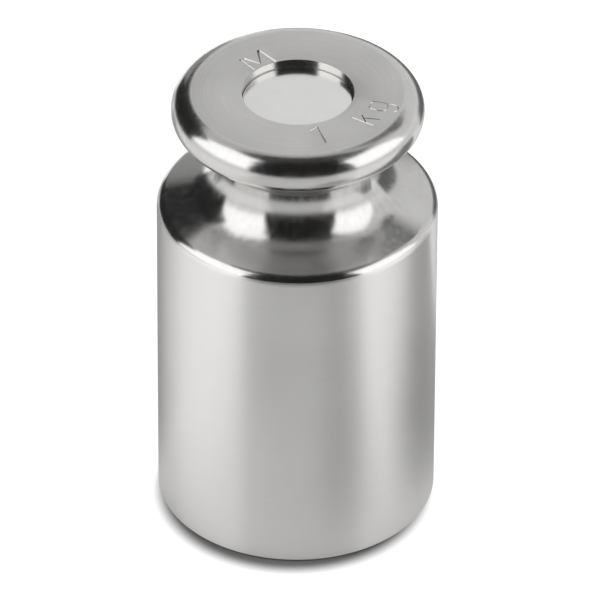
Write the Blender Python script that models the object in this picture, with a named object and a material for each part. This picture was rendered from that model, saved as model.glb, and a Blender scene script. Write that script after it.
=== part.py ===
"""Knob weight of 1 kg, turned from stainless steel, with a closed adjusting cavity.

The weight stands on z = 0 with its turning axis on +Z. Lengths are in metres.
The pieces are the turned body, the pressed cap that closes its bore, and the
steel shot that lies in the adjusting cavity under the cap.
"""

import math

import bmesh
import bpy

# Driving dimensions of the turned body
BODY_DIAMETER = 0.048
KNOB_DIAMETER = 0.043
NECK_DIAMETER = 0.027
TOTAL_HEIGHT = 0.082
KNOB_THICKNESS = 0.007
NECK_GROOVE_RADIUS = 0.007
SHOULDER_SLOPE = math.radians(17.0)
SHOULDER_EDGE_RADIUS = 0.002
BASE_CHAMFER = 0.0004

# Driving dimensions of the bore and the adjusting cavity below it
BORE_DIAMETER = 0.019
CAP_DEPTH = 0.0017
CAVITY_DIAMETER = 0.0162
CAVITY_DEPTH = 0.0175
CAVITY_CORNER_CHAMFER = 0.0006

# Driving dimensions of the flat cap that is pressed into the bore
CAP_THICKNESS = 0.0022
CAP_EDGE_CHAMFER = 0.0002

# Driving dimensions of the adjusting shot
SHOT_DIAMETER = 0.005
SHOT_LAYERS = 2

# Clearance between pieces that touch on the real weight
SEAT_GAP = 0.0003

# Mesh resolution
BODY_SEGMENTS = 96
CAP_SEGMENTS = 64
SHOT_SEGMENTS = 16
SHOT_RINGS = 8
FLAT_EDGE_ANGLE = math.radians(20.0)
MERGE_DISTANCE = 1e-7

# Heights that follow from the driving dimensions
CAP_TOP_Z = TOTAL_HEIGHT - CAP_DEPTH
CAP_BOTTOM_Z = CAP_TOP_Z - CAP_THICKNESS
BORE_LEDGE_Z = CAP_BOTTOM_Z - SEAT_GAP
CAVITY_FLOOR_Z = BORE_LEDGE_Z - CAVITY_DEPTH


def arc(centre, radius, start, end, steps):
    """Points (r, z) along an arc of the profile, both ends included."""
    points = []
    for i in range(steps + 1):
        angle = start + (end - start) * i / steps
        points.append((centre[0] + radius * math.cos(angle),
                       centre[1] + radius * math.sin(angle)))
    return points


def neck_groove():
    """Centre of the neck groove, and the angle at which it runs into the knob's rim.

    The groove's arc touches the round rim of the knob from outside, so that the
    underside of the knob is one smooth S-shaped curve.
    """
    rim_radius = KNOB_THICKNESS / 2
    rim_centre = (KNOB_DIAMETER / 2 - rim_radius, TOTAL_HEIGHT - rim_radius)
    groove_r = NECK_DIAMETER / 2 + NECK_GROOVE_RADIUS
    across = groove_r - rim_centre[0]
    down = math.sqrt((NECK_GROOVE_RADIUS + rim_radius) ** 2 - across ** 2)
    groove_centre = (groove_r, rim_centre[1] - down)
    meeting_angle = math.atan2(down, -across)
    return rim_centre, groove_centre, meeting_angle


def shoulder_edge(groove_centre):
    """Centre of the rounded edge between the body's side and the sloping shoulder.

    The shoulder is a cone that touches the neck groove, and the edge's arc touches
    both that cone and the side.
    """
    edge_r = BODY_DIAMETER / 2 - SHOULDER_EDGE_RADIUS
    out = (math.sin(SHOULDER_SLOPE), math.cos(SHOULDER_SLOPE))
    cone_r = groove_centre[0] - NECK_GROOVE_RADIUS * out[0]
    cone_z = groove_centre[1] - NECK_GROOVE_RADIUS * out[1]
    reach = edge_r + SHOULDER_EDGE_RADIUS * out[0] - cone_r
    edge_z = cone_z - reach * math.tan(SHOULDER_SLOPE) - SHOULDER_EDGE_RADIUS * out[1]
    return edge_r, edge_z


def body_profile():
    """Half section of the turned body, from the base's centre round to the cavity floor."""
    rim_centre, groove_centre, meeting_angle = neck_groove()
    edge_centre = shoulder_edge(groove_centre)
    rim_radius = KNOB_THICKNESS / 2
    body_r = BODY_DIAMETER / 2
    bore_r = BORE_DIAMETER / 2
    cavity_r = CAVITY_DIAMETER / 2
    quarter = math.pi / 2

    points = [(0.0, 0.0), (body_r - BASE_CHAMFER, 0.0), (body_r, BASE_CHAMFER)]
    points += arc(edge_centre, SHOULDER_EDGE_RADIUS, 0.0, quarter - SHOULDER_SLOPE, 6)
    points += arc(groove_centre, NECK_GROOVE_RADIUS,
                  3 * quarter - SHOULDER_SLOPE, meeting_angle, 16)
    points += arc(rim_centre, rim_radius, meeting_angle - math.pi, quarter, 16)[1:]
    points += [(bore_r, TOTAL_HEIGHT), (bore_r, BORE_LEDGE_Z), (cavity_r, BORE_LEDGE_Z)]
    points += [(cavity_r, CAVITY_FLOOR_Z + CAVITY_CORNER_CHAMFER),
               (cavity_r - CAVITY_CORNER_CHAMFER, CAVITY_FLOOR_Z),
               (0.0, CAVITY_FLOOR_Z)]
    return points


def cap_profile():
    """Half section of the cap: a flat disc with broken edges."""
    outer_r = BORE_DIAMETER / 2 - SEAT_GAP
    inner_r = outer_r - CAP_EDGE_CHAMFER
    return [(0.0, CAP_BOTTOM_Z), (inner_r, CAP_BOTTOM_Z),
            (outer_r, CAP_BOTTOM_Z + CAP_EDGE_CHAMFER), (outer_r, CAP_TOP_Z - CAP_EDGE_CHAMFER),
            (inner_r, CAP_TOP_Z), (0.0, CAP_TOP_Z)]


def material(name, colour, roughness):
    """A bare metal surface of the given colour and roughness."""
    surface = bpy.data.materials.new(name)
    surface.use_nodes = True
    shader = surface.node_tree.nodes["Principled BSDF"]
    shader.inputs["Base Color"].default_value = (*colour, 1.0)
    shader.inputs["Metallic"].default_value = 1.0
    shader.inputs["Roughness"].default_value = roughness
    surface.diffuse_color = (*colour, 1.0)
    return surface


def add_object(name, mesh, surface):
    """Shade a mesh smooth between its sharp edges and link it as a named object."""
    mesh.shade_smooth()
    mesh.set_sharp_from_angle(angle=FLAT_EDGE_ANGLE)
    mesh.materials.append(surface)
    piece = bpy.data.objects.new(name, mesh)
    bpy.context.scene.collection.objects.link(piece)
    return piece


def turn(name, profile, segments, surface):
    """Spin a half section that starts and ends on the axis into one closed body."""
    shape = bmesh.new()
    verts = [shape.verts.new((r, 0.0, z)) for r, z in profile]
    edges = [shape.edges.new(pair) for pair in zip(verts, verts[1:])]
    bmesh.ops.spin(shape, geom=verts + edges, cent=(0.0, 0.0, 0.0), axis=(0.0, 0.0, 1.0),
                   angle=2 * math.pi, steps=segments, use_merge=True)
    bmesh.ops.remove_doubles(shape, verts=shape.verts, dist=MERGE_DISTANCE)
    bmesh.ops.recalc_face_normals(shape, faces=shape.faces)
    mesh = bpy.data.meshes.new(name)
    shape.to_mesh(mesh)
    shape.free()
    return add_object(name, mesh, surface)


def shot_places():
    """Centres of the shot: layers of one ring along the wall and one in the middle.

    Each ring is turned by half a pitch and drops between the shot below it, and the
    shot in the middle lies on the one below.
    """
    radius = SHOT_DIAMETER / 2
    pitch = SHOT_DIAMETER + SEAT_GAP
    ring_r = CAVITY_DIAMETER / 2 - SEAT_GAP - radius
    count = int(math.pi / math.asin(pitch / 2 / ring_r) + 1e-6)
    offset = 2 * ring_r * math.sin(math.pi / count / 2)
    ring_rise = math.sqrt(pitch ** 2 - offset ** 2)
    has_middle = ring_r >= pitch - 1e-6
    rise = pitch if has_middle else ring_rise
    floor_z = CAVITY_FLOOR_Z + SEAT_GAP + radius
    top_z = BORE_LEDGE_Z - radius

    places = []
    for layer in range(SHOT_LAYERS):
        if floor_z + layer * rise > top_z:
            break
        turned = layer * math.pi / count
        for i in range(count):
            angle = turned + 2 * math.pi * i / count
            places.append((ring_r * math.cos(angle), ring_r * math.sin(angle),
                           floor_z + layer * ring_rise))
        if has_middle:
            places.append((0.0, 0.0, floor_z + layer * pitch))
    return places


def add_shot(surface):
    """The loose steel balls that bring the weight to its nominal mass."""
    shape = bmesh.new()
    bmesh.ops.create_uvsphere(shape, u_segments=SHOT_SEGMENTS, v_segments=SHOT_RINGS,
                              radius=SHOT_DIAMETER / 2)
    mesh = bpy.data.meshes.new("shot")
    shape.to_mesh(mesh)
    shape.free()
    mesh.shade_smooth()
    mesh.materials.append(surface)
    for number, place in enumerate(shot_places(), start=1):
        ball = bpy.data.objects.new(f"adjusting_shot_{number:02d}", mesh)
        ball.location = place
        bpy.context.scene.collection.objects.link(ball)


def build():
    """The whole weight, standing on the origin."""
    for old in list(bpy.data.objects):
        bpy.data.objects.remove(old)
    turned_steel = material("turned_stainless_steel", (0.62, 0.61, 0.60), 0.25)
    cap_metal = material("satin_aluminium", (0.80, 0.80, 0.79), 0.45)
    shot_steel = material("shot_steel", (0.45, 0.45, 0.46), 0.3)
    turn("weight_body", body_profile(), BODY_SEGMENTS, turned_steel)
    turn("closing_cap", cap_profile(), CAP_SEGMENTS, cap_metal)
    add_shot(shot_steel)


build()
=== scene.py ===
"""Looks of the 1 kg knob weight: turned, polished and engraved steel on a pale studio table."""

import math

import bpy
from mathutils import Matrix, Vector


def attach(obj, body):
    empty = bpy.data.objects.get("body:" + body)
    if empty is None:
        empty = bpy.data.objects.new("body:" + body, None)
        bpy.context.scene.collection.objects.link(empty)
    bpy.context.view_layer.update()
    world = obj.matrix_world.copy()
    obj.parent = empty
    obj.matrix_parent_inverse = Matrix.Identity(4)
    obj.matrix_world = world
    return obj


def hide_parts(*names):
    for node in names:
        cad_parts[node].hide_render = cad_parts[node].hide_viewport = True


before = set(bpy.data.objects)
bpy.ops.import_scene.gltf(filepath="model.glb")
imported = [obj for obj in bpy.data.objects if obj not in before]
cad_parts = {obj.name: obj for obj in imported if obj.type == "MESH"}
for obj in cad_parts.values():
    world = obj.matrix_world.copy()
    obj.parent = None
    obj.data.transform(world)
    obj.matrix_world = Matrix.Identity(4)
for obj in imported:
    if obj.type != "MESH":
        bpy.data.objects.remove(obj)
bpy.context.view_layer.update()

# Sizes of the turned body in metres, as the CAD has them
BODY_RADIUS = 0.024
KNOB_RADIUS = 0.0215
NECK_RADIUS = 0.0135
TOP = 0.082
RIM_RADIUS = 0.0035
GROOVE_RADIUS = 0.007
SHOULDER_SLOPE = math.radians(17.0)
EDGE_RADIUS = 0.002
BASE_CHAMFER = 0.0004
BORE_RADIUS = 0.0095
CAVITY_RADIUS = 0.0081
CAVITY_CHAMFER = 0.0006
LEDGE = 0.0778
CAVITY_FLOOR = 0.0603

# Sizes of the cap, which fills the bore as the pressed one does
CAP_RADIUS = 0.00947
CAP_TOP = 0.08055
CAP_BOTTOM = 0.0781
CAP_EDGE = 0.0004

# Fine edges that only the looks need
BORE_EDGE = 0.00012

# Where the finishes of the body change over: the turned side's inner limit and how far it runs up
# the shoulder's edge, then the neck's polish and the unpolished underside of the knob above it,
# which is darkened with painted shade
SIDE_FROM = 0.0235
SIDE_UP_EDGE = 0.0008
NECK_POLISH_TOP = 0.0702
UNDERSIDE_TOP = 0.0752
UNDERSIDE_REACH = 0.0188
SLACK = 1e-5

# The pointed cutter that engraves the top face: its middle line lies just above that face
CUTTER_HEIGHT = TOP + 0.00003
CUTTER_STEEPNESS = 1.1

TURNED_STEEL = (0.60, 0.595, 0.585)
HALF_TURN = math.pi
QUARTER_TURN = math.pi / 2

# The values of a noise pattern that count as its darkest and its lightest
PATTERN_DARK = 0.3
PATTERN_LIGHT = 0.7
STREAK_SCALE = (900, 900, 60)

# The soft shadow close round the base, partly real and partly painted shadow where the table's
# glow is held off: its middle, where it is darkest to, and where it ends
PAINTED_SHADOW_MIDDLE = (-0.0006, -0.0034, 0.0)
PAINTED_SHADOW_CORE = 0.0212
PAINTED_SHADOW_END = 0.0252

# The table's glow in the steel, painted light from a table that is no lamp. It is weaker in a
# sector in front and behind than beside.
TABLE_RADIUS = 6.0
SECTOR_SPREAD = 0.55
SECTOR_START = 0.012
SECTOR_END = 0.05
PAINTED_SECTOR_GLOW = 0.12
PAINTED_SIDE_GLOW = 0.44

# The backdrop that the camera and the steel see: its grey at each height, up to straight overhead
BACKDROP_LOW = (0.12, (1, 1, 1, 1))
BACKDROP_HIGH = (1.0, (0.055, 0.05, 0.046, 1))
BACKDROP_GREYS = ((0.36, 0.8), (0.62, 0.85), (0.8, 0.62), (0.9, 0.6), (0.93, 0.07))
FILL_LIGHT = 0.35

# The camera, as fitted to the photo's outlines
CAMERA_PLACE = (0.0, -1.238257, 0.952418)
CAMERA_DEGREES = (53.5636, -0.2337, 0.1475)
CAMERA_LENS = 537.01


# Modelling

def pick(piece):
    """Makes one piece the only selected one, and the active one."""
    bpy.ops.object.select_all(action="DESELECT")
    piece.select_set(True)
    bpy.context.view_layer.objects.active = piece


def start_point(place, size):
    """One vertex in the middle of a small plane, ready to be drawn out in edit mode."""
    bpy.ops.object.select_all(action="DESELECT")
    bpy.ops.mesh.primitive_plane_add(size=size, location=place)
    bpy.ops.object.transform_apply(location=True, rotation=True, scale=True)
    bpy.ops.object.mode_set(mode="EDIT")
    bpy.ops.mesh.select_all(action="SELECT")
    bpy.ops.mesh.merge(type="CENTER")
    return bpy.context.object


def draw_outline(name, start, strokes):
    """Draws a half section. A stroke is a point to reach, or (centre, angle, steps) for an arc."""
    piece = start_point((start[0], 0, start[1]), 0.001)
    piece.name = piece.data.name = name
    here = start
    for stroke in strokes:
        if len(stroke) == 2:
            step = (stroke[0] - here[0], 0, stroke[1] - here[1])
            bpy.ops.mesh.extrude_region_move(TRANSFORM_OT_translate={"value": step})
            here = stroke
        else:
            (r, z), angle, steps = stroke
            bpy.ops.mesh.spin(steps=steps, angle=angle, center=(r, 0, z), axis=(0, 1, 0))
            across, up = here[0] - r, here[1] - z
            here = (r + across * math.cos(angle) - up * math.sin(angle),
                    z + across * math.sin(angle) + up * math.cos(angle))
    return piece


def turn_outline(piece, steps):
    """Spins the half section about the turning axis into one closed body."""
    bpy.ops.mesh.select_all(action="SELECT")
    bpy.ops.mesh.spin(steps=steps, angle=2 * math.pi, center=(0, 0, 0), axis=(0, 0, 1))
    bpy.ops.mesh.select_all(action="SELECT")
    bpy.ops.mesh.remove_doubles(threshold=1e-6)
    bpy.ops.mesh.normals_make_consistent(inside=False)
    bpy.ops.object.mode_set(mode="OBJECT")


def finish_rings(piece, finishes):
    """Gives each ring of faces its finish: the last whose test of (radius, height) it passes."""
    for finish, _ in finishes:
        piece.data.materials.append(finish)
    for number, (_, belongs) in enumerate(finishes):
        bpy.ops.object.mode_set(mode="EDIT")
        bpy.ops.mesh.select_all(action="DESELECT")
        bpy.ops.object.mode_set(mode="OBJECT")
        for face in piece.data.polygons:
            x, y, z = face.center
            face.select = belongs(math.hypot(x, y), z)
        bpy.ops.object.mode_set(mode="EDIT")
        piece.active_material_index = number
        bpy.ops.object.material_slot_assign()
    bpy.ops.object.mode_set(mode="OBJECT")


def smooth_between_edges(piece):
    """Smooth shading that stops at real edges."""
    pick(piece)
    bpy.ops.object.shade_smooth_by_angle(angle=math.radians(25))


def make_body():
    """The turned body with its bore and cavity, as one closed shell."""
    rim_centre = (KNOB_RADIUS - RIM_RADIUS, TOP - RIM_RADIUS)
    groove_r = NECK_RADIUS + GROOVE_RADIUS
    across = groove_r - rim_centre[0]
    down = math.sqrt((GROOVE_RADIUS + RIM_RADIUS) ** 2 - across ** 2)
    groove_centre = (groove_r, rim_centre[1] - down)
    meeting = math.atan2(down, -across)
    out = (math.sin(SHOULDER_SLOPE), math.cos(SHOULDER_SLOPE))
    cone_top = (groove_centre[0] - GROOVE_RADIUS * out[0],
                groove_centre[1] - GROOVE_RADIUS * out[1])
    edge_r = BODY_RADIUS - EDGE_RADIUS
    reach = edge_r + EDGE_RADIUS * out[0] - cone_top[0]
    edge_z = cone_top[1] - reach * math.tan(SHOULDER_SLOPE) - EDGE_RADIUS * out[1]

    body = draw_outline("turned_body", (0.0, 0.0), [
        (BODY_RADIUS - BASE_CHAMFER, 0.0),
        (BODY_RADIUS, BASE_CHAMFER),
        (BODY_RADIUS, edge_z),
        ((edge_r, edge_z), QUARTER_TURN - SHOULDER_SLOPE, 14),
        cone_top,
        (groove_centre, meeting - (3 * QUARTER_TURN - SHOULDER_SLOPE), 40),
        (rim_centre, QUARTER_TURN - (meeting - HALF_TURN), 44),
        (BORE_RADIUS + BORE_EDGE, TOP),
        ((BORE_RADIUS + BORE_EDGE, TOP - BORE_EDGE), QUARTER_TURN, 4),
        (BORE_RADIUS, LEDGE),
        (CAVITY_RADIUS, LEDGE),
        (CAVITY_RADIUS, CAVITY_FLOOR + CAVITY_CHAMFER),
        (CAVITY_RADIUS - CAVITY_CHAMFER, CAVITY_FLOOR),
        (0.0, CAVITY_FLOOR),
    ])
    turn_outline(body, 240)
    flat_radius = KNOB_RADIUS - RIM_RADIUS
    finish_rings(body, [
        (polished_steel(), lambda r, z: True),
        (turned_side_painted_light(), lambda r, z: r > SIDE_FROM and z < edge_z + SIDE_UP_EDGE),
        (polished_neck(), lambda r, z: r < cone_top[0] and cone_top[1] < z < NECK_POLISH_TOP),
        (as_turned_painted_shade(), lambda r, z: (z < BASE_CHAMFER or BORE_RADIUS < r < UNDERSIDE_REACH
                                    and NECK_POLISH_TOP < z < UNDERSIDE_TOP)),
        (faced_top(), lambda r, z: BORE_RADIUS + BORE_EDGE < r < flat_radius and z > TOP - SLACK),
        (faced_base(), lambda r, z: z < SLACK),
        (drilled_cavity(), lambda r, z: r < BORE_RADIUS - SLACK and SLACK < z < LEDGE + SLACK),
    ])
    return body


def make_cap():
    """The flat disc pressed into the bore."""
    inner = CAP_RADIUS - CAP_EDGE
    cap = draw_outline("pressed_cap", (0.0, CAP_BOTTOM), [
        (inner, CAP_BOTTOM),
        ((inner, CAP_BOTTOM + CAP_EDGE), QUARTER_TURN, 6),
        (CAP_RADIUS, CAP_TOP - CAP_EDGE),
        ((inner, CAP_TOP - CAP_EDGE), QUARTER_TURN, 12),
        (0.0, CAP_TOP),
    ])
    turn_outline(cap, 160)
    finish_rings(cap, [
        (bright_aluminium(), lambda r, z: True),
        (satin_aluminium(), lambda r, z: r < inner and z > CAP_TOP - SLACK),
    ])
    smooth_between_edges(cap)
    return cap


# Engraving. Each character is drawn in millimetres, across and up from the middle of its foot.

LETTER_M = [
    [(-2.1, -0.06), (-2.23, 3.85)],
    [(-1.6, 3.8), (-0.15, 0.7), (1.85, 4.2)],
    [(1.98, 4.2), (2.3, -0.3)],
]
NUMBER_1 = [
    [(-1.45, 4.0), (0.0, 4.75), (0.0, 0.0)],
]
LETTER_K = [
    [(-1.0, 4.3), (-0.88, 0.0)],
    [(-0.86, 1.55), (0.55, 3.3)],
    [(-0.05, 2.6), (1.15, 0.1)],
]
LETTER_G = [
    [(1.02, 0.62), (0.75, 0.2), (0.3, 0.0), (-0.6, 0.0), (-1.1, 0.35), (-1.25, 0.9), (-1.15, 2.3),
     (-0.9, 2.85), (-0.35, 3.15), (0.4, 3.1), (0.92, 2.8)],
    [(1.14, 3.0), (1.2, 0.75), (1.1, -0.9), (0.85, -1.45), (0.3, -1.8), (-0.35, -1.75),
     (-0.9, -1.4)],
]
# Each row: character, azimuth from the front, radius of its foot in millimetres, whether its head
# points to the rim, and the width of its grooves in metres
CHARACTERS = [
    (LETTER_M, -143.3, 9.7, True, 0.00048),
    (NUMBER_1, 18.0, 15.5, False, 0.00036),
    (LETTER_K, 56.0, 15.95, False, 0.00024),
    (LETTER_G, 73.6, 15.8, False, 0.00022),
]


def on_top_face(across, up, azimuth, foot, outward):
    """The place on the top face, in metres, of a point of a character."""
    a = math.radians(azimuth)
    out, along = Vector((math.sin(a), -math.cos(a))), Vector((math.cos(a), math.sin(a)))
    if outward:
        flat = out * (foot + up) - along * across
    else:
        flat = out * (foot - up) + along * across
    return flat.x / 1000, flat.y / 1000


def engrave(body, points, width, groove):
    """Cuts one stroke of a character into the top face with a pointed cutter."""
    start_point((*points[0], CUTTER_HEIGHT), 0.0001)
    for (x0, y0), (x1, y1) in zip(points, points[1:]):
        step = (x1 - x0, y1 - y0, 0)
        bpy.ops.mesh.extrude_region_move(TRANSFORM_OT_translate={"value": step})
    bpy.ops.object.mode_set(mode="OBJECT")
    bpy.ops.object.convert(target="CURVE")
    cutter = bpy.context.object
    cutter.data.bevel_depth = width / 2
    cutter.data.bevel_resolution = 0
    cutter.data.use_fill_caps = True
    bpy.ops.object.convert(target="MESH")
    cutter = bpy.context.object
    cutter.data.materials.clear()
    cutter.data.materials.append(groove)
    bpy.ops.object.mode_set(mode="EDIT")
    bpy.ops.mesh.select_all(action="SELECT")
    bpy.ops.mesh.remove_doubles(threshold=1e-7)
    bpy.ops.transform.resize(value=(1, 1, CUTTER_STEEPNESS), center_override=(0, 0, CUTTER_HEIGHT))
    bpy.ops.mesh.normals_make_consistent(inside=False)
    bpy.ops.object.mode_set(mode="OBJECT")

    pick(body)
    bpy.ops.object.modifier_add(type="BOOLEAN")
    cut = body.modifiers[-1]
    cut.object = cutter
    cut.operation = "DIFFERENCE"
    cut.solver = "EXACT"
    cut.material_mode = "TRANSFER"
    bpy.ops.object.modifier_apply(modifier=cut.name)

    pick(cutter)
    bpy.ops.object.delete()


def engrave_characters(body):
    """The class letter and the nominal value, as every weight of this class carries them."""
    groove = engraved_steel()
    for strokes, azimuth, foot, outward, width in CHARACTERS:
        for stroke in strokes:
            points = [on_top_face(across, up, azimuth, foot, outward) for across, up in stroke]
            engrave(body, points, width, groove)


# Node steps that the finishes and the studio share

def own_place(tree):
    """The place on the piece, in the piece's own metres."""
    return tree.nodes.new("ShaderNodeTexCoord").outputs["Object"]


def split_place(tree, place):
    """The X, Y and Z of a place."""
    split = tree.nodes.new("ShaderNodeSeparateXYZ")
    tree.links.new(place, split.inputs["Vector"])
    return split.outputs["X"], split.outputs["Y"], split.outputs["Z"]


def work_out(tree, operation, *terms):
    """One step of arithmetic. Each term is a number or another node's result."""
    step = tree.nodes.new("ShaderNodeMath")
    step.operation = operation
    for term, target in zip(terms, step.inputs):
        if isinstance(term, float):
            target.default_value = term
        else:
            tree.links.new(term, target)
    return step.outputs["Value"]


def change_place(tree, operation, place, amounts):
    """A place with its X, Y and Z each multiplied or reduced by an amount."""
    change = tree.nodes.new("ShaderNodeVectorMath")
    change.operation = operation
    change.inputs[1].default_value = amounts
    tree.links.new(place, change.inputs[0])
    return change.outputs["Vector"]


def distance_of(tree, place):
    """How far a place is from the origin."""
    reach = tree.nodes.new("ShaderNodeVectorMath")
    reach.operation = "LENGTH"
    tree.links.new(place, reach.inputs[0])
    return reach.outputs["Value"]


def refit(tree, source, from_range, to_range, smooth=False):
    """Carries a value from one range over to another, straight or with soft ends."""
    fit = tree.nodes.new("ShaderNodeMapRange")
    if smooth:
        fit.interpolation_type = "SMOOTHSTEP"
    fit.inputs["From Min"].default_value, fit.inputs["From Max"].default_value = from_range
    fit.inputs["To Min"].default_value, fit.inputs["To Max"].default_value = to_range
    tree.links.new(source, fit.inputs["Value"])
    return fit.outputs["Result"]


def noise(tree, place, scale, detail, roughness=0.5):
    """A cloudy pattern between 0 and 1."""
    cloud = tree.nodes.new("ShaderNodeTexNoise")
    cloud.inputs["Scale"].default_value = scale
    cloud.inputs["Detail"].default_value = detail
    cloud.inputs["Roughness"].default_value = roughness
    tree.links.new(place, cloud.inputs["Vector"])
    return cloud.outputs["Fac"]


# Finishes

def scaled(colour, factor):
    return tuple(min(1.0, c * factor) for c in colour)


def start_finish(name, colour, roughness):
    """A bare metal with its own nodes, and its node tree."""
    finish = bpy.data.materials.new(name)
    finish.use_nodes = True
    finish.diffuse_color = (*colour, 1.0)
    tree = finish.node_tree
    metal = tree.nodes["Principled BSDF"]
    metal.inputs["Base Color"].default_value = (*colour, 1.0)
    metal.inputs["Metallic"].default_value = 1.0
    metal.inputs["Roughness"].default_value = roughness
    return finish, tree, metal


def lathe_grain(tree, across, pitch, along=0.012, detail=3.0):
    """Fine marks that run round the turning axis, spaced along the height or along the radius."""
    place = own_place(tree)
    x, y, spacing = split_place(tree, place)
    if across == "radius":
        spacing = distance_of(tree, change_place(tree, "MULTIPLY", place, (1, 1, 0)))
    rejoin = tree.nodes.new("ShaderNodeCombineXYZ")
    for source, target, size in ((x, "X", along), (y, "Y", along), (spacing, "Z", pitch)):
        tree.links.new(work_out(tree, "DIVIDE", source, size), rejoin.inputs[target])
    return noise(tree, rejoin.outputs["Vector"], 1.0, detail, 0.6)


def wipe_streaks(tree):
    """Faint upright streaks, as a polishing cloth leaves them."""
    return noise(tree, change_place(tree, "MULTIPLY", own_place(tree), STREAK_SCALE), 1.0, 3.0)


def smudges(tree, size, detail=3.0):
    """Broad soft unevenness, as handling and cleaning leave it."""
    return noise(tree, own_place(tree), 1 / size, detail)


def roughen(tree, metal, pattern, low, high):
    """Spreads the metal's roughness between two values with a pattern."""
    rough = refit(tree, pattern, (PATTERN_DARK, PATTERN_LIGHT), (low, high))
    tree.links.new(rough, metal.inputs["Roughness"])


def shade(tree, metal, pattern, colour, dark, light):
    """Shades the metal's colour with a pattern, between two factors of one colour."""
    tones = tree.nodes.new("ShaderNodeValToRGB")
    for stop, position, factor in zip(tones.color_ramp.elements, (PATTERN_DARK, PATTERN_LIGHT),
                                      (dark, light)):
        stop.position = position
        stop.color = (*scaled(colour, factor), 1.0)
    tree.links.new(pattern, tones.inputs["Fac"])
    tree.links.new(tones.outputs["Color"], metal.inputs["Base Color"])


def raise_marks(tree, metal, pattern, depth, strength):
    """Lets a pattern stand in relief by that depth in metres."""
    relief = tree.nodes.new("ShaderNodeBump")
    relief.inputs["Strength"].default_value = strength
    relief.inputs["Distance"].default_value = depth
    tree.links.new(pattern, relief.inputs["Height"])
    tree.links.new(relief.outputs["Normal"], metal.inputs["Normal"])


def brush_round(tree, metal, amount):
    """Stretches highlights across the turning marks."""
    round_axis = tree.nodes.new("ShaderNodeTangent")
    round_axis.direction_type = "RADIAL"
    round_axis.axis = "Z"
    tree.links.new(round_axis.outputs["Tangent"], metal.inputs["Tangent"])
    metal.inputs["Anisotropic"].default_value = amount
    metal.inputs["Anisotropic Rotation"].default_value = 0.25


def turned_side_painted_light():
    # Painted light: a copy of the steel lightened by 1.3, so the side's reflections read brighter;
    # the turning marks are real.
    colour = scaled(TURNED_STEEL, 1.3)
    finish, tree, metal = start_finish("fine_turned_side", colour, 0.36)
    marks = lathe_grain(tree, "height", 0.00022)
    shade(tree, metal, marks, colour, 0.985, 1.012)
    roughen(tree, metal, smudges(tree, 0.02), 0.34, 0.38)
    raise_marks(tree, metal, marks, 0.000001, 0.3)
    brush_round(tree, metal, 0.93)
    return finish


def faced_top():
    finish, tree, metal = start_finish("faced_top", TURNED_STEEL, 0.3)
    marks = lathe_grain(tree, "radius", 0.00018)
    shade(tree, metal, marks, TURNED_STEEL, 0.97, 1.07)
    roughen(tree, metal, smudges(tree, 0.008), 0.27, 0.33)
    raise_marks(tree, metal, marks, 0.000003, 0.5)
    brush_round(tree, metal, 0.4)
    return finish


def polished_steel():
    finish, tree, metal = start_finish("polished_steel", TURNED_STEEL, 0.195)
    marks = lathe_grain(tree, "height", 0.00015, along=0.02, detail=2.0)
    shade(tree, metal, smudges(tree, 0.006), TURNED_STEEL, 0.99, 1.04)
    roughen(tree, metal, wipe_streaks(tree), 0.155, 0.235)
    raise_marks(tree, metal, marks, 0.0000005, 0.4)
    brush_round(tree, metal, 0.82)
    return finish


def polished_neck():
    finish, tree, metal = start_finish("polished_neck", TURNED_STEEL, 0.19)
    marks = lathe_grain(tree, "height", 0.00015, along=0.02, detail=2.0)
    streaks = wipe_streaks(tree)
    shade(tree, metal, streaks, TURNED_STEEL, 0.94, 1.05)
    roughen(tree, metal, streaks, 0.155, 0.225)
    raise_marks(tree, metal, marks, 0.0000005, 0.4)
    brush_round(tree, metal, 0.86)
    return finish


def as_turned_painted_shade():
    """The unpolished places, the knob's underside and the broken edge of the base: rougher steel,
    and a darker copy of it as painted shade under the knob and at the foot.
    """
    # Painted shade: the steel darkened to 0.72 of its colour.
    colour = scaled(TURNED_STEEL, 0.72)
    finish, tree, metal = start_finish("as_turned_painted_shade", colour, 0.32)
    marks = lathe_grain(tree, "radius", 0.0002)
    shade(tree, metal, marks, colour, 0.94, 1.03)
    roughen(tree, metal, marks, 0.28, 0.36)
    raise_marks(tree, metal, marks, 0.000003, 0.4)
    brush_round(tree, metal, 0.7)
    return finish


def faced_base():
    finish, tree, metal = start_finish("faced_base", TURNED_STEEL, 0.3)
    marks = lathe_grain(tree, "radius", 0.0004)
    shade(tree, metal, marks, TURNED_STEEL, 0.9, 1.02)
    roughen(tree, metal, marks, 0.24, 0.36)
    raise_marks(tree, metal, marks, 0.000006, 0.6)
    brush_round(tree, metal, 0.5)
    return finish


def drilled_cavity():
    finish, tree, metal = start_finish("drilled_cavity", scaled(TURNED_STEEL, 0.85), 0.4)
    marks = lathe_grain(tree, "height", 0.0003)
    shade(tree, metal, marks, TURNED_STEEL, 0.7, 0.9)
    roughen(tree, metal, marks, 0.34, 0.46)
    raise_marks(tree, metal, marks, 0.000015, 0.8)
    return finish


def engraved_steel():
    finish, tree, metal = start_finish("engraved_steel", TURNED_STEEL, 0.22)
    marks = smudges(tree, 0.0002, 2.0)
    shade(tree, metal, marks, TURNED_STEEL, 0.85, 1.1)
    roughen(tree, metal, marks, 0.16, 0.3)
    raise_marks(tree, metal, marks, 0.00001, 0.5)
    return finish


def satin_aluminium():
    colour = (0.79, 0.79, 0.775)
    finish, tree, metal = start_finish("satin_aluminium", colour, 0.19)
    pebbles = smudges(tree, 0.0004, 4.0)
    shade(tree, metal, smudges(tree, 0.005), colour, 0.985, 1.015)
    roughen(tree, metal, pebbles, 0.17, 0.21)
    raise_marks(tree, metal, pebbles, 0.000002, 0.3)
    return finish


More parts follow.
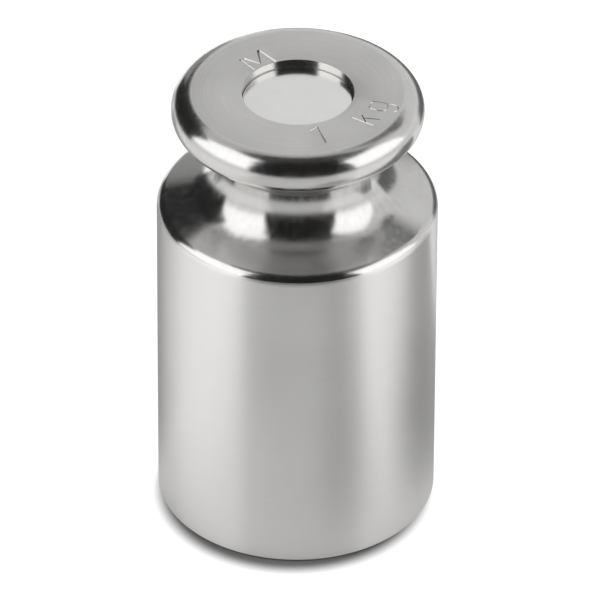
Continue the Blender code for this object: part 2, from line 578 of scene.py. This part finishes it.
def bright_aluminium():
    colour = (0.91, 0.91, 0.90)
    finish, tree, metal = start_finish("bright_aluminium", colour, 0.14)
    marks = lathe_grain(tree, "height", 0.0001, detail=2.0)
    shade(tree, metal, marks, colour, 0.96, 1.0)
    roughen(tree, metal, marks, 0.11, 0.18)
    return finish


def ground_shot():
    colour = (0.45, 0.45, 0.46)
    finish, tree, metal = start_finish("ground_shot", colour, 0.3)
    scuffs = smudges(tree, 0.0006, 4.0)
    shade(tree, metal, scuffs, colour, 0.85, 1.1)
    roughen(tree, metal, scuffs, 0.24, 0.38)
    raise_marks(tree, metal, scuffs, 0.00001, 0.4)
    return finish


# Studio

# What hangs round the weight: name, azimuth from the front, distance, width, heights of the lower
# and the upper edge, and the cloth. A cloth has a name, a tone that it glows with as painted
# light, and the shares of its half width and half length over which it thins out towards its
# edges.
HUNG_CLOTHS = [
    ("front_velvet", 4.5, 0.42, 0.91, 0.035, 1.7, ("black_velvet", 0.018, 0.12, 0.03)),
    ("high_velvet", 6, 0.40, 1.20, 0.70, 1.75, ("high_black_velvet", 0.02, 0.10, 0.03)),
    ("back_left_velvet", -136, 0.45, 0.66, 0.0, 0.58, ("dark_velvet", 0.025, 0.08, 0.1)),
    ("back_left_card", -163, 0.40, 0.13, 0.07, 0.25, ("grey_card", 0.36, 0.2, 0.2)),
    ("low_white_card", -163, 0.20, 0.10, 0.0, 0.066, ("white_card", 1.5, 0.2, 0.15)),
    ("back_right_cloth", 148, 0.15, 0.115, 0.195, 0.33, ("grey_cloth", 0.2, 0.35, 0.3)),
    ("small_right_card", 136, 0.50, 0.17, 0.47, 0.61, ("slate_card", 0.08, 0.2, 0.2)),
    ("high_right_cloth", 98, 0.50, 0.60, 0.90, 1.8, ("dark_cloth", 0.12, 0.3, 0.12)),
    ("low_dark_card", 150, 0.16, 0.16, 0.0, 0.098, ("dark_card", 0.15, 0.25, 0.25)),
]
# Painted shadows on the table, dark sheets seen only in the steel where the weight's shadow and
# darker patches fall: name, azimuth from the front, distance, width, length, and the cloth
LAID_PAINTED_SHADES = [
    ("painted_cast_shadow", 104, 0.15, 0.078, 0.26, ("painted_shadow_of_weight", 0.25, 0.2, 0.2)),
    ("painted_left_shade", -133, 0.15, 0.066, 0.26, ("painted_shade_at_left", 0.44, 0.5, 0.2)),
    ("painted_front_right_shade", 35, 0.07, 0.056, 0.08, ("painted_shade_front_right", 0.44, 0.9, 0.6)),
]
PAINTED_SHADE_ABOVE_TABLE = 0.0002


def studio_place(azimuth, distance, height):
    """A place round the weight, and the turn about Z that faces it towards the weight."""
    a = math.radians(azimuth)
    return (distance * math.sin(a), -distance * math.cos(a), height), a


def stand_softbox(name, azimuth, distance, width, bottom, top, brightness):
    """An upright softbox beside the weight, with a black back."""
    place, turn = studio_place(azimuth, distance, (bottom + top) / 2)
    bpy.ops.object.light_add(type="AREA", location=place, rotation=(QUARTER_TURN, 0.0, turn))
    lamp = bpy.context.object
    lamp.name = name
    lamp.data.shape = "RECTANGLE"
    lamp.data.size, lamp.data.size_y = width, top - bottom
    lamp.data.energy = 4 * width * (top - bottom) * brightness
    lamp.visible_camera = False
    hang_cloth(name + "_back", azimuth, distance + 0.02, width, bottom, top,
               (name + "_housing", 0.0, 0.01, 0.01))


def hang_cloth(name, azimuth, distance, width, bottom, top, cloth):
    """A cloth or card beside the weight, which the polished steel sees as one of its bands."""
    place, turn = studio_place(azimuth, distance, (bottom + top) / 2)
    stretch_cloth(name, place, (QUARTER_TURN, 0.0, turn), width, top - bottom, cloth)


def lay_painted_shade(name, azimuth, distance, width, length, cloth):
    """A strip of painted shade on the table that runs away from the weight."""
    place, turn = studio_place(azimuth, distance, PAINTED_SHADE_ABOVE_TABLE)
    stretch_cloth(name, place, (0.0, 0.0, turn), width, length, cloth)


def stretch_cloth(name, place, turn, width, length, cloth):
    """A flat cloth that the camera and diffuse light don't see. It still casts a shadow."""
    bpy.ops.mesh.primitive_plane_add(size=2, location=place, rotation=turn)
    sheet = bpy.context.object
    sheet.name = name
    sheet.scale = (width / 2, length / 2, 1)
    sheet.data.materials.append(studio_cloth(*cloth))
    sheet.visible_camera = sheet.visible_diffuse = False


def studio_cloth(name, tone, side_fade, end_fade):
    """Cloth of one tone that thins out towards its edges. The tone is emitted, so the cloth glows
    with it instead of being lit: painted light that only the steel sees.
    """
    cloth = bpy.data.materials.new(name)
    cloth.use_nodes = True
    tree = cloth.node_tree
    surface = tree.nodes["Principled BSDF"]
    surface.inputs["Base Color"].default_value = (0.0, 0.0, 0.0, 1.0)
    surface.inputs["Specular IOR Level"].default_value = 0.0
    surface.inputs["Emission Color"].default_value = (tone, tone, tone, 1.0)
    surface.inputs["Emission Strength"].default_value = 1.0
    x, y, _ = split_place(tree, own_place(tree))
    covers = []
    for side, fade in ((x, side_fade), (y, end_fade)):
        from_middle = work_out(tree, "ABSOLUTE", side)
        covers.append(refit(tree, from_middle, (1.0, 1.0 - fade), (0.0, 1.0), smooth=True))
    tree.links.new(work_out(tree, "MULTIPLY", *covers), surface.inputs["Alpha"])
    return cloth


def seen_rays(tree, glossy_share=1.0):
    """1 for rays of the camera and those through glass, and a share for those off metal."""
    path = tree.nodes.new("ShaderNodeLightPath").outputs
    straight = work_out(tree, "MAXIMUM", path["Is Camera Ray"], path["Is Transmission Ray"])
    mirrored = work_out(tree, "MULTIPLY", path["Is Glossy Ray"], glossy_share)
    return work_out(tree, "MAXIMUM", straight, mirrored)


def make_table():
    """The pale table. It keeps the weight's shadow, deepened round the base by painted shadow
    where its glow is held off, and runs out to plain white. In the steel it glows more beside the
    weight: painted light.
    """
    bpy.ops.mesh.primitive_circle_add(vertices=96, radius=TABLE_RADIUS, fill_type="NGON",
                                      location=(0, 0, 0))
    table = bpy.context.object
    table.name = "studio_table"
    paper = bpy.data.materials.new("pale_table")
    paper.use_nodes = True
    tree = paper.node_tree
    surface = tree.nodes["Principled BSDF"]
    surface.inputs["Roughness"].default_value = 0.9
    surface.inputs["Specular IOR Level"].default_value = 0.0
    surface.inputs["Emission Color"].default_value = (1, 1, 1, 1)

    place = own_place(tree)
    x, y, _ = split_place(tree, place)
    aside, along = work_out(tree, "ABSOLUTE", x), work_out(tree, "ABSOLUTE", y)
    # Painted light in the steel: the table glows more beside the weight than in front and behind.
    sector = work_out(tree, "MULTIPLY_ADD", along, -SECTOR_SPREAD, aside)
    share = refit(tree, sector, (SECTOR_START, SECTOR_END), (PAINTED_SECTOR_GLOW, PAINTED_SIDE_GLOW))
    # Painted shadow: the table's glow is held off round this middle, up to the core, and is full
    # past the end.
    from_painted_shadow = distance_of(tree, change_place(tree, "SUBTRACT", place, PAINTED_SHADOW_MIDDLE))
    clear = refit(tree, from_painted_shadow, (PAINTED_SHADOW_CORE, PAINTED_SHADOW_END), (0.0, 1.0), smooth=True)
    glow = work_out(tree, "MULTIPLY", clear, seen_rays(tree, share))
    tree.links.new(glow, surface.inputs["Emission Strength"])

    tone = tree.nodes.new("ShaderNodeMix")
    tone.data_type = "RGBA"
    tone.inputs["A"].default_value = (0.85, 0.85, 0.845, 1)
    tone.inputs["B"].default_value = (0.2, 0.2, 0.2, 1)
    path = tree.nodes.new("ShaderNodeLightPath")
    tree.links.new(path.outputs["Is Camera Ray"], tone.inputs["Factor"])
    tree.links.new(tone.outputs["Result"], surface.inputs["Base Color"])
    table.data.materials.append(paper)


def make_backdrop():
    """White behind the table, greyer higher up, and a plain fill light on everything."""
    world = bpy.data.worlds.new("studio")
    bpy.context.scene.world = world
    world.use_nodes = True
    tree = world.node_tree
    fill = tree.nodes["Background"]
    fill.inputs["Color"].default_value = (1, 1, 1, 1)
    fill.inputs["Strength"].default_value = FILL_LIGHT
    place = tree.nodes.new("ShaderNodeTexCoord")
    height = split_place(tree, place.outputs["Generated"])[2]
    rise = tree.nodes.new("ShaderNodeValToRGB")
    for step, (position, colour) in zip(rise.color_ramp.elements, (BACKDROP_LOW, BACKDROP_HIGH)):
        step.position = position
        step.color = colour
    for position, grey in BACKDROP_GREYS:
        step = rise.color_ramp.elements.new(position)
        step.color = (grey, grey, grey, 1)
    tree.links.new(height, rise.inputs["Fac"])
    backdrop = tree.nodes.new("ShaderNodeBackground")
    backdrop.inputs["Strength"].default_value = 1.0
    tree.links.new(rise.outputs["Color"], backdrop.inputs["Color"])
    choose = tree.nodes.new("ShaderNodeMixShader")
    tree.links.new(seen_rays(tree), choose.inputs["Fac"])
    tree.links.new(fill.outputs["Background"], choose.inputs[1])
    tree.links.new(backdrop.outputs["Background"], choose.inputs[2])
    tree.links.new(choose.outputs["Shader"], tree.nodes["World Output"].inputs["Surface"])


def make_camera():
    bpy.ops.object.camera_add(location=CAMERA_PLACE,
                              rotation=[math.radians(angle) for angle in CAMERA_DEGREES])
    camera = bpy.context.object
    camera.data.lens = CAMERA_LENS
    camera.data.sensor_width = 36.0
    camera.data.clip_start = 0.05
    camera.data.clip_end = 50.0
    bpy.context.scene.camera = camera


body = make_body()
engrave_characters(body)
smooth_between_edges(body)
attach(body, "root")
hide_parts("weight_body")

cap = make_cap()
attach(cap, "root")
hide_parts("closing_cap")

shot_finish = ground_shot()
for name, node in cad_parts.items():
    if name.startswith("adjusting_shot"):
        for slot in node.material_slots:
            slot.material = shot_finish

make_table()
make_backdrop()
stand_softbox("left_softbox", -77, 0.60, 0.80, 0.18, 1.40, 1.31)
stand_softbox("right_softbox", 75, 0.45, 0.44, 0.12, 0.69, 1.31)
for row in HUNG_CLOTHS:
    hang_cloth(*row)
for row in LAID_PAINTED_SHADES:
    lay_painted_shade(*row)
make_camera()
bpy.context.scene.view_settings.view_transform = "Standard"
